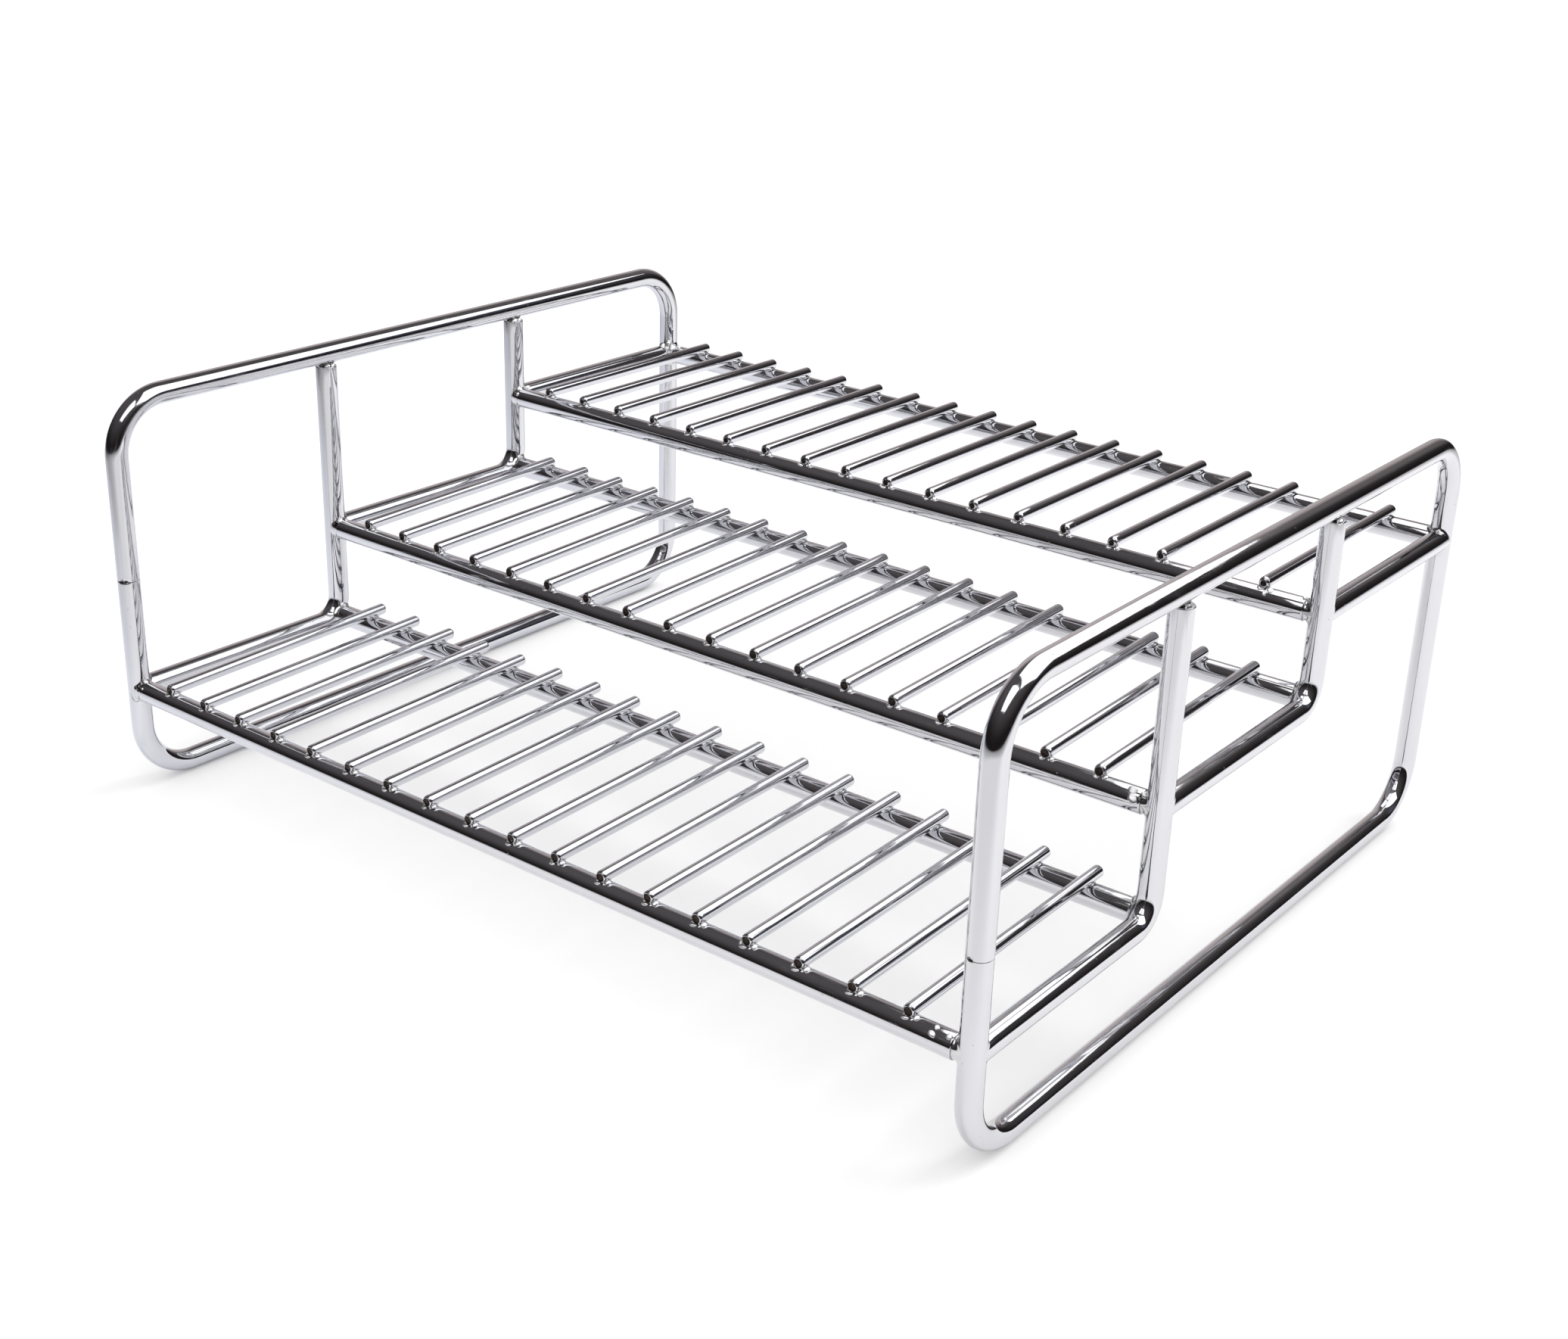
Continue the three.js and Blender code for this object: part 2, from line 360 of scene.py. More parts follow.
    rough_soil_and_shade = n.new("ShaderNodeMath")
    rough_soil_and_shade.operation = "MULTIPLY_ADD"
    rough_soil_and_shade.use_clamp = True
    rough_soil_and_shade.inputs[1].default_value = 0.45
    link.new(soil_and_shade_amount.outputs[0], rough_soil_and_shade.inputs[0])
    link.new(rough_haze.outputs[0], rough_soil_and_shade.inputs[2])
    link.new(rough_soil_and_shade.outputs[0], b.inputs["Roughness"])

    # bump: a long faint wave, a finer orange peel, the pits
    long_wave = n.new("ShaderNodeTexNoise")
    long_wave.inputs["Scale"].default_value = 110.0
    long_wave.inputs["Detail"].default_value = 1.0
    link.new(coord.outputs["Object"], long_wave.inputs["Vector"])
    bump_a = n.new("ShaderNodeBump")
    bump_a.inputs["Strength"].default_value = wave
    bump_a.inputs["Distance"].default_value = 0.0004
    link.new(long_wave.outputs["Fac"], bump_a.inputs["Height"])
    peel = n.new("ShaderNodeTexNoise")
    peel.inputs["Scale"].default_value = 650.0
    peel.inputs["Detail"].default_value = 2.0
    link.new(coord.outputs["Object"], peel.inputs["Vector"])
    bump_b = n.new("ShaderNodeBump")
    bump_b.inputs["Strength"].default_value = wave * 0.6
    bump_b.inputs["Distance"].default_value = 0.00004
    link.new(peel.outputs["Fac"], bump_b.inputs["Height"])
    link.new(bump_a.outputs["Normal"], bump_b.inputs["Normal"])
    bump_c = n.new("ShaderNodeBump")
    bump_c.invert = True
    bump_c.inputs["Strength"].default_value = 0.6
    bump_c.inputs["Distance"].default_value = 0.00015
    link.new(pit_mask.outputs["Result"], bump_c.inputs["Height"])
    link.new(bump_b.outputs["Normal"], bump_c.inputs["Normal"])
    link.new(bump_c.outputs["Normal"], b.inputs["Normal"])
    return mat


TINT_FRAME = (0.694, 0.695, 0.719)
TINT_SLAT = (0.700, 0.702, 0.734)
m_hoop = chrome("frame_chrome_hoop", TINT_FRAME, 0.060, 0.10, 0.22, 0.034, "YZ")
m_rail = chrome("frame_chrome_rail", TINT_FRAME, 0.060, 0.12, 0.30, 0.040, "X")
m_slat = chrome("slat_chrome", TINT_SLAT, 0.055, 0.07, 0.14, 0.036, "Y")
m_weld = chrome("weld_chrome", (0.70, 0.70, 0.705), 0.12, 0.5, 0.06, 0.06, "")
# tint far above the rest of the chrome: a painted highlight that keeps the beads white
m_bead_highlight = chrome("weld_bead_painted_highlight", (0.95, 0.95, 0.955), 0.30, 0.9, 0.12, 0.06, "")
# near-black tint: painted shade on the cut end faces of the wires and in their hollows
m_cut_painted_shade = chrome("cut_end_painted_shade", (0.045, 0.038, 0.035), 0.26, 0.9, 0.25, 0.10, "Z")


# ------------------------------------------------------------------ side hoops
def hoop_stations(x, seam_z):
    inner = LEG_Y - HOOP_BEND
    low, high = BOTTOM_Z + HOOP_BEND, TOP_Z - HOOP_BEND
    seam_steps = []
    for dz in (-1.4, -0.9, -0.6, -0.4, -0.25, -0.15, -0.07, 0.0,
               0.07, 0.15, 0.25, 0.4, 0.6, 0.9, 1.4):
        seam_steps.append(seam_z + dz)
    down = Vector((0, 0, -1))
    front = [(Vector((x, -LEG_Y, z)), down, 0.0)
             for z in [high, high - 8, high - 16, high - 24] + seam_steps[::-1]
             + [seam_z - 10, seam_z - 20, seam_z - 30, low] if low <= z <= high]
    front = sorted(front, key=lambda st: -st[0].z)
    return joined(
        front,
        arc(x, -inner, low, HOOP_BEND, math.pi, 1.5 * math.pi, 20),
        line((x, -inner, BOTTOM_Z), (x, inner, BOTTOM_Z), 24),
        arc(x, inner, low, HOOP_BEND, 1.5 * math.pi, 2 * math.pi, 20),
        line((x, LEG_Y, low), (x, LEG_Y, high), 12),
        arc(x, inner, high, HOOP_BEND, 0, 0.5 * math.pi, 20),
        line((x, inner, TOP_Z), (x, -inner, TOP_Z), 24),
        arc(x, -inner, high, HOOP_BEND, 0.5 * math.pi, math.pi, 20),
    )[:-1]


for side, sign in (("left", -1), ("right", 1)):
    x = sign * SIDE_X
    seam_z = SEAM_Z[side]
    stations = hoop_stations(x, seam_z)
    mesh = Mesh()
    v = Vector((1, 0, 0))
    rings = []
    for p, t, s in stations:
        u = v.cross(t).normalized()
        points, darkening_values = [], []
        for i in range(FRAME_SIDES):
            a = 2 * math.pi * i / FRAME_SIDES
            d = u * math.cos(a) + v * math.sin(a)
            r, soil_and_painted_shade = R, 0.0
            dz = p.z - seam_z
            if abs(p.y + LEG_Y) < 1e-3 and abs(dz) < 1.5:
                # butt-weld seam: a fine groove and one open nick at the front
                groove = math.exp(-(dz / 0.11) ** 2)
                r -= 0.07 * groove
                soil_and_painted_shade = 0.75 * math.exp(-(dz / 0.13) ** 2)
                towards, spread, deep = NICK[side]
                facing = d.dot(Vector(towards).normalized())
                open_at = math.exp(-((1 - facing) / spread) ** 2)
                jag = lump((a * 4.0, dz * 1.3, 0), 1.0, 61)
                wide = 0.42 + 0.25 * jag
                r -= deep * open_at * math.exp(-((dz - 0.1 - 0.3 * jag) / wide) ** 2)
                soil_and_painted_shade = max(soil_and_painted_shade, 1.6 * open_at * math.exp(-((dz - 0.1 - 0.3 * jag) / (wide + 0.1)) ** 2))
            points.append((p + d * r)[:])
            darkening_values.append(soil_and_painted_shade)
        rings.append(mesh.ring(points, darkening_values))
    for a, b in zip(rings, rings[1:]):
        mesh.bridge(a, b)
    mesh.bridge(rings[-1], rings[0])
    make(f"{side}_hoop_rod", mesh, [m_hoop], [f"{side}_hoop"])

    # side rods with their risers; the riser's flat top butts under the top run
    for tier, (y0, y1, z) in SIDE_RODS.items():
        mesh = Mesh()
        path = joined(
            line((x, y0 + 0.6, z), (x, y1 - SIDE_BEND, z), 14),
            arc(x, y1 - SIDE_BEND, z + SIDE_BEND, SIDE_BEND, -0.5 * math.pi, 0, 18),
            line((x, y1, z + SIDE_BEND), (x, y1, TOP_Z - R - 1.1), 10),
        )
        rod(mesh, path, R, FRAME_SIDES, (1, 0, 0), 0.3, 0.35, cut=0, dome=0.03)
        make(f"{side}_{tier}_side_rod_and_riser", mesh, [m_hoop, m_cut_painted_shade],
             [f"{side}_{tier}_side_rod"])
    mesh = Mesh()
    rod(mesh, line((x, 48.5 + 0.6, 109), (x, LEG_Y - 0.6, 109), 12), R, FRAME_SIDES,
        (1, 0, 0), 0.3, 0.3)
    make(f"{side}_upper_side_rail_rod", mesh, [m_hoop, m_cut_painted_shade],
         [f"{side}_upper_side_rail"])


# ----------------------------------------------------------- rails and slats
def slat_x(n):
    return (n - (SLATS + 1) / 2) * PITCH


for tier, ((fy, fz), (ry, rz), lead) in TIERS.items():
    in_bend = tier != "upper"
    mesh = Mesh()
    end = SIDE_X + RAIL_END - 0.45
    rod(mesh, line((-end, fy, fz), (end, fy, fz), 36), R, FRAME_SIDES, (0, 0, 1), 0.45, 0.45)
    make(f"{tier}_front_rail_rod", mesh, [m_rail], [f"{tier}_front_rail"])
    mesh = Mesh()
    end = SIDE_X - (1.6 if in_bend else 0.6)
    rod(mesh, line((-end, ry, rz), (end, ry, rz), 36), R, FRAME_SIDES, (0, 0, 1), 0.4, 0.4)
    make(f"{tier}_rear_rail_rod", mesh, [m_rail], [f"{tier}_rear_rail"])

    slope = (rz - fz) / (ry - fy)
    y0 = fy - lead
    y1 = y0 + SLAT_LENGTH
    for k in range(1, SLATS + 1):
        x = slat_x(k)
        a = Vector((x, y0 + 1.45, fz + LIFT + (y0 + 1.45 - fy) * slope))
        b = Vector((x, y1 - 1.0, fz + LIFT + (y1 - 1.0 - fy) * slope))
        mesh = Mesh()
        # the faces of both kinds of end take the near-black cut material: painted shade
        if tier == "upper":      # these ends were tumbled round before plating
            rod(mesh, line(a, b, 12), RS, SLAT_SIDES, (1, 0, 0), (1.35, 1.0), (0.9, 0.55),
                cut=1, recess=(0.10, 0.2), seed=k * 2.9)
        else:
            rod(mesh, line(a, b, 12), RS, SLAT_SIDES, (1, 0, 0), (1.35, 0.62), (0.9, 0.55),
                cut=1, recess=(0.28, 0.25), seed=k * 3.7 + len(tier) * 11.3)
        name = f"{tier}_slat_{k:02d}"
        nodes = [name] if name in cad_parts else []
        make(name + "_wire", mesh, [m_slat, m_cut_painted_shade], nodes)


# --------------------------------------------------------------------- welds
def collar(mesh, points_a, points_p, points_b, inside, arc_steps=7, concave=0.12,
           toe=0.55, gap_shade=0.0):
    """A closed ring of weld metal. Each column runs from its toe A on one piece
    to its toe B on the other in a hollow curve that bends towards the corner P,
    and closes through a point inside both pieces."""
    n = len(points_p)
    rows = [[] for _ in range(arc_steps + 3)]
    darkening_values = [[] for _ in range(arc_steps + 3)]
    for a, p, b, q in zip(points_a, points_p, points_b, inside):
        mid = (a + b) / 2
        c = p.lerp(mid, concave)
        for k in range(arc_steps + 1):
            t = k / arc_steps
            w = (1 - t) ** 2 * a + 2 * t * (1 - t) * c + t * t * b
            rows[k].append(w[:])
            # a floor value paints the whole weld dark as shade in a gap; the toes darken as real soil
            darkening_values[k].append(max(gap_shade, toe * max(0.0, 1 - min(t, 1 - t) * 5.0)))
        rows[arc_steps + 1].append(b.lerp(q, 0.5)[:])
        darkening_values[arc_steps + 1].append(0.0)
        rows[arc_steps + 2].append(a.lerp(q, 0.5)[:])
        darkening_values[arc_steps + 2].append(0.0)
    rings = [mesh.ring(r, s) for r, s in zip(rows, darkening_values)]
    for a, b in zip(rings, rings[1:] + rings[:1]):
        mesh.bridge(a, b)


def slat_weld(mesh, x, y, z, height, back, front_cut, seed, size=1.0):
    """Weld of a slat lying on a rail whose axis is at (y, z). height is from the
    rail's axis to the slat's. front_cut is how far in front of the rail's axis
    the slat is cut off, or None where it runs on past the rail."""
    n = 40
    pa, pp, pb, pq = [], [], [], []
    a_max = math.acos(min(1.0, (height - R) / RS))
    for i in range(n):
        t = 2 * math.pi * i / n
        c, s = math.cos(t), math.sin(t)
        k = size * (1 + 0.22 * lump((c * 2, s * 2, 0), 0.9, seed) + 0.12 * lump((c, s, 1), 2.3, seed))
        # toe on the rail
        rx = (1.95 + 0.55 * k) * c
        reach = 2.1 + 0.95 * k
        ryy = reach * s
        if front_cut is not None and s < 0:
            ryy = max(ryy, -(front_cut + 0.75 * k))
        rzz = math.sqrt(max(0.0, (R - 0.02) ** 2 - ryy * ryy))
        # toe on the slat
        al = math.radians(40 + 20 * k) * c
        sx, sz = (RS - 0.02) * math.sin(al), height - (RS - 0.02) * math.cos(al)
        sy = (2.4 + 1.0 * k) * s
        on_end = front_cut is not None and sy < -front_cut + 0.03
        if on_end:
            sy = -front_cut + 0.06
            sx = 1.62 * c / max(0.35, math.sqrt(c * c + 0.3 * s * s))
            sx = max(-1.62, min(1.62, sx))
            sz = height - math.sqrt(max(0.0, (RS - 0.02) ** 2 - sx * sx)) + 0.45 * k
        # corner
        ap = a_max * c
        px, pz = RS * math.sin(ap), height - RS * math.cos(ap)
        py = math.copysign(math.sqrt(max(0.0, R * R - min(pz, R) ** 2)), s)
        if front_cut is not None and py < -front_cut:
            py = -front_cut
            pz = math.sqrt(R * R - py * py)
        pa.append(Vector((x + rx, y + ryy, z + rzz)))
        pp.append(Vector((x + px, y + py, z + pz)))
        pb.append(Vector((x + sx, y + sy, z + sz)))
        pq.append(Vector((x + px * 0.3, y + py * 0.4, z + (R + height - RS) / 2)))
    collar(mesh, pa, pp, pb, pq)


def tee_weld(mesh, place, radius, length_to, dist, w_tube, w_rod, seed, n=48, end_gap=0.6):
    """Weld round the end of a rod that meets a tube of radius R side on.
    place(a, b, c) turns local coordinates into a point: a and b across the rod,
    c along it towards the tube, with c = 0 on the tube's centre plane. dist(a, b)
    is how far a point is from the tube's centre line as seen along the rod."""
    pa, pp, pb, pq = [], [], [], []

    def surface(a, b):
        d = dist(a, b)
        return -math.sqrt(max(0.0, R * R - min(d, R) ** 2)), d

    for i in range(n):
        t = 2 * math.pi * i / n
        c, s = math.cos(t), math.sin(t)
        k = 1 + 0.3 * lump((c * 2, s * 2, 0), 0.8, seed) + 0.18 * lump((c, s, 2), 2.5, seed)
        rho = radius
        while surface(rho * c, rho * s)[1] > 0.985 * R and rho > 0.5:
            rho -= 0.05
        depth, d = surface(rho * c, rho * s)
        p = place(rho * c, rho * s, depth)
        out = rho
        while out < rho + w_tube * k and surface((out + 0.05) * c, (out + 0.05) * s)[1] < 0.985 * R:
            out += 0.05
        da, _ = surface(out * c, out * s)
        a = place(out * c * 0.998, out * s * 0.998, da + 0.03)
        rod_toe = min(depth, -0.6) - w_rod * k
        b = place((radius - 0.03) * c, (radius - 0.03) * s, rod_toe)
        q = place(rho * c * 0.6, rho * s * 0.6, depth + 0.9)
        pa.append(a)
        pp.append(p)
        pb.append(b)
        pq.append(q)
    collar(mesh, pa, pp, pb, pq, arc_steps=8, concave=0.18, toe=0.7)


def blob(mesh, centre, axes, seed, rings=12, sides=22, soil_and_painted_shade=0.0):
    """A small smooth bead of weld metal, sunk halfway into the rod."""
    c = Vector(centre)
    ux, uy, uz = [Vector(a) for a in axes]
    rows = []
    for i in range(1, rings):
        th = math.pi * i / rings
        pts = []
        for j in range(sides):
            ph = 2 * math.pi * j / sides
            d = (math.sin(th) * math.cos(ph), math.sin(th) * math.sin(ph), math.cos(th))
            k = 1 + 0.12 * lump((d[0] * 2, d[1] * 2, d[2] * 2), 1.0, seed)
            pts.append((c + ux * (d[0] * k) + uy * (d[1] * k) + uz * (d[2] * k))[:])
        rows.append(mesh.ring(pts, soil_and_painted_shade))
    for a, b in zip(rows, rows[1:]):
        mesh.bridge(a, b, 1)
    mesh.fan(rows[0], (c + uz)[:], True, 1, soil_and_painted_shade)
    mesh.fan(rows[-1], (c - uz)[:], False, 1, soil_and_painted_shade)


FRONT_QUARTER = Vector((435.7, -564.9, 358.0))       # mm
LAMPS = (Vector((305, 77, 641)), Vector((170, -530, 750)))


def glint(point, normal):
    """Leans a nugget's crown so that it catches the nearer lamp from the front
    right; the white it shows there is a painted highlight in its bright tint."""
    p, n = Vector(point), Vector(normal).normalized()
    best = None
    for lamp in LAMPS:
        h = ((FRONT_QUARTER - p).normalized() + (lamp - p).normalized()).normalized()
        if best is None or h.dot(n) > best.dot(n):
            best = h
    return (best * 0.8 + n * 0.2).normalized()


def bead(mesh, centre, normal, radius, height, seed, stretch=1.0, along=(1, 0, 0), soil_and_painted_shade=0.0):
    """A flattened nugget of weld metal: round about its normal, or stretched
    along one direction."""
    n = Vector(normal).normalized() if soil_and_painted_shade else glint(centre, normal)
    e1 = Vector(along) - n * Vector(along).dot(n)
    e1.normalize()
    e2 = n.cross(e1)
    blob(mesh, centre, (e1 * radius * stretch, e2 * radius, n * height), seed, soil_and_painted_shade=soil_and_painted_shade)


def run_of_weld(mesh, points, radius, sides=10):
    """A fine raised line of weld metal along a chain of points, pointed at both ends."""
    pts = [Vector(p) for p in points]
    rings = []
    n = len(pts)
    for i, p in enumerate(pts):
        t = (pts[min(i + 1, n - 1)] - pts[max(i - 1, 0)]).normalized()
        u = t.cross(Vector((0.3, 0.5, 0.81))).normalized()
        w = t.cross(u)
        r = radius * (0.35 + 0.65 * math.sin(math.pi * i / (n - 1)) ** 0.5)
        rings.append(mesh.ring(circle_ring(p, u, w, r, sides), 0.0))
    for a, b in zip(rings, rings[1:]):
        mesh.bridge(a, b)
    mesh.fan(rings[0], pts[0][:], True)
    mesh.fan(rings[-1], pts[-1][:], False)


def neck_weld(mesh, place, seed, n=48):
    """Joins the square-cut end of a rail to a leg through a neck narrower than
    the rail. Coordinates are those of tee_weld."""
    pa, pp, pb, pq = [], [], [], []
    for i in range(n):
        t = 2 * math.pi * i / n
        c, s = math.cos(t), math.sin(t)
        k = 1 + 0.35 * lump((c * 2, s * 2, 0), 0.9, seed) + 0.2 * lump((c, s, 2), 2.6, seed)
        rho = 3.5 + 0.8 * k
        while abs(rho * c) > 0.985 * R:
            rho -= 0.05
        depth = -math.sqrt(R * R - (rho * c) ** 2)
        waist = 3.25 + 0.25 * lump((c * 1.5, s * 1.5, 3), 1.0, seed)
        pa.append(place(rho * c * 0.998, rho * s * 0.998, depth + 0.03))
        pp.append(place(waist * c, waist * s, (RAIL_END + depth) / 2 - 0.1))
        pb.append(place(3.66 * c, 3.66 * s, RAIL_END - 0.02))
        pq.append(place(1.5 * c, 1.5 * s, RAIL_END + 0.4))
    collar(mesh, pa, pp, pb, pq, arc_steps=9, concave=0.0, toe=0.35)


def on_rail(y, z, degrees, out=0.0):
    """A point of a rail's surface: y, z and its outward direction."""
    a = math.radians(degrees)
    return y + (R + out) * math.cos(a), z + (R + out) * math.sin(a), (0, math.cos(a), math.sin(a))


def bend_distance(y1, z):
    """Distance in the side plane from the centre line of a bent side rod."""
    cy, cz = y1 - SIDE_BEND, z + SIDE_BEND

    def dist_yz(y, zz):
        if y > cy and zz < cz:
            return abs(math.hypot(y - cy, zz - cz) - SIDE_BEND)
        if zz >= cz:
            return abs(y - y1)
        return abs(zz - z)
    return dist_yz


# loose beads and spatter on the rails near their ends: place along the rail,
# degrees round it (90 is the top, 180 the front), radius, height, axis, stretch
# burnt crusts beside those beads: place along the rail, degrees, radius, stretch
SCORCH = {
    ("lower", "front"): ((-178.9, 140, 1.5, 0.8), (-178.3, 118, 1.3, 1.0), (-177.2, 152, 0.9, 1.4)),
    ("middle", "front"): ((-178.6, 138, 1.3, 0.8), (176.9, 140, 0.8, 1.0)),
    ("upper", "front"): ((-178.7, 128, 1.6, 0.8), (-178.0, 145, 1.0, 1.0)),
}
RISER_TOP = TOP_Z - R - 0.75
NUGGETS = {                  # offset from the riser's axis, axis, radius, height, stretch
    "left": (
        ((2.7, -1.6, 0.25, (0.7, -0.5, 0.5), 0.8, 0.42, 1.4), (2.6, 1.0, 0.2, (0.8, -0.2, 0.5), 0.65, 0.38, 1.6)),
        ((2.7, -1.8, 0.25, (0.7, -0.5, 0.5), 0.95, 0.45, 1.5), (2.7, 0.8, 0.2, (0.8, -0.2, 0.5), 0.8, 0.4, 1.5)),
    ),
    "right": (
        ((2.6, -1.8, 0.25, (0.6, -0.65, 0.45), 0.75, 0.42, 1.5), (-0.6, -3.5, -0.1, (0.1, -0.9, 0.4), 0.45, 0.3, 1.2)),
        ((2.9, -1.9, 0.45, (0.6, -0.65, 0.45), 1.05, 0.6, 1.3),),
    ),
}
SPATTER = {
    ("lower", "front"): (
        (170.9, 104, 0.85, 0.26, (0.24, -0.40, 0.84), 1.0),
        (170.6, 137, 0.85, 0.26, (0.24, -0.62, 0.74), 1.6),
        (175.6, 120, 0.90, 0.26, (0.24, -0.60, 0.76), 1.1),
        (-179.0, 112, 1.00, 0.36, (0.36, -0.45, 0.80), 1.6),
        (-176.8, 100, 0.85, 0.34, (0.36, -0.30, 0.88), 1.5),
        (-175.5, 142, 0.42, 0.22, (0.36, -0.62, 0.66), 1.0),
    ),
    ("middle", "front"): (
        (173.8, 122, 1.45, 0.36, (0.24, -0.66, 0.74), 1.1),
        (174.7, 154, 1.40, 0.40, (0.21, -0.68, 0.70), 1.35),
        (177.6, 124, 0.80, 0.32, (0.24, -0.60, 0.76), 1.4),
        (-176.8, 118, 0.95, 0.36, (0.36, -0.50, 0.78), 1.4),
        (-174.9, 96, 0.60, 0.30, (0.30, -0.30, 0.90), 1.2),
    ),
    ("upper", "front"): (
        (176.6, 100, 0.80, 0.40, (0.30, -0.36, 0.88), 1.4),
        (164.6, 112, 1.10, 0.40, (0.30, -0.50, 0.80), 1.2),
        (163.0, 136, 0.80, 0.35, (0.30, -0.60, 0.72), 1.0),
        (-177.6, 108, 1.15, 0.45, (0.40, -0.40, 0.80), 1.2),
        (-176.9, 146, 0.75, 0.35, (0.36, -0.60, 0.70), 1.0),
    ),
    ("upper", "rear"): (
        (-177.2, 118, 1.30, 0.50, (0.42, -0.30, 0.85), 1.2),
        (-174.8, 104, 0.85, 0.35, (0.42, -0.25, 0.88), 1.5),
    ),
}

for number, (tier, ((fy, fz), (ry, rz), lead)) in enumerate(TIERS.items()):
    slope = (rz - fz) / (ry - fy)
    for where, y, z in (("front", fy, fz), ("rear", ry, rz)):
        mesh = Mesh()
        height = fz + LIFT + (y - fy) * slope - z
        for k in range(1, SLATS + 1):
            slat_weld(mesh, slat_x(k), y, z, height, 0,
                      lead if where == "front" else None,
                      seed=number * 100 + k + (50 if where == "rear" else 0))
        if where == "front":
            for k in range(1, SLATS + 1):
                x, seed = slat_x(k), number * 100 + k
                r1, r2, r3 = (lump((k * 0.37, number, j), 1.0, 40 + j) for j in (0, 1, 2))
                tip = -(lead + 0.25)
                ground = math.sqrt(R * R - tip * tip)
                # a hook of metal squeezed out under the slat's end
                bead(mesh, (x - 0.35 + 0.5 * r1, y + tip - 0.05, z + ground - 0.06),
                     (0.1, tip / R, 0.92), 0.50 + 0.12 * r2, 0.38, seed, 2.6 + 0.8 * r3,
                     (1, 0.32 + 0.3 * r1, 0))
                # a nugget on its right, and a smaller one on its left
                off = -0.75 + 0.5 * r2
                bead(mesh, (x + 2.35 + 0.3 * r3, y + off, z + math.sqrt(R * R - off * off) + 0.12),
                     (0.30, -0.36, 0.88), (0.85 if tier == "lower" else 0.66) + 0.2 * r1,
                     0.34, seed + 7, 1.25, (0.4, 1, 0))
                if r2 > 0.1:
                    off = -1.25 + 0.5 * r1
                    bead(mesh, (x - 2.1 - 0.3 * r3, y + off, z + math.sqrt(R * R - off * off) + 0.05),
                         (0.12, -0.5, 0.86), 0.55 + 0.15 * r3, 0.26, seed + 13)
        for sign in (-1, 1):
            seed = 300 + number * 10 + (sign > 0) + (4 if where == "rear" else 0)
            if where == "front":
                neck_weld(mesh, lambda a, b, c, y=y, z=z, sign=sign: Vector(
                    (sign * (SIDE_X + c), y + a, z + b)), seed)
                continue
            if where == "rear" and tier != "upper":
                _, ybend, zbend = SIDE_RODS[tier]
                d_yz = bend_distance(ybend, zbend)
                dist = (lambda a, b, d_yz=d_yz, y=y, z=z: d_yz(y + a, z + b))
            else:
                dist = lambda a, b: abs(a)
            place = (lambda a, b, c, y=y, z=z, sign=sign: Vector((sign * (SIDE_X + c), y + a, z + b)))
            tee_weld(mesh, place, R, 0, dist, 1.5, 1.2, seed)
        for along, degrees, radius, height, axis, stretch in SPATTER.get((tier, where), ()):
            py, pz, _ = on_rail(y, z, degrees, 0.06)
            bead(mesh, (along, py, pz), axis, radius, height, along, stretch, (0.25, 0.5, -0.8))
        for along, degrees, radius, stretch in SCORCH.get((tier, where), ()):
            py, pz, out = on_rail(y, z, degrees, -0.02)
            bead(mesh, (along, py, pz), out, radius, 0.16, along + 2, stretch, (1, 0, 0), 1.6)
        make(f"{tier}_{where}_rail_welds", mesh, [m_weld, m_bead_highlight])

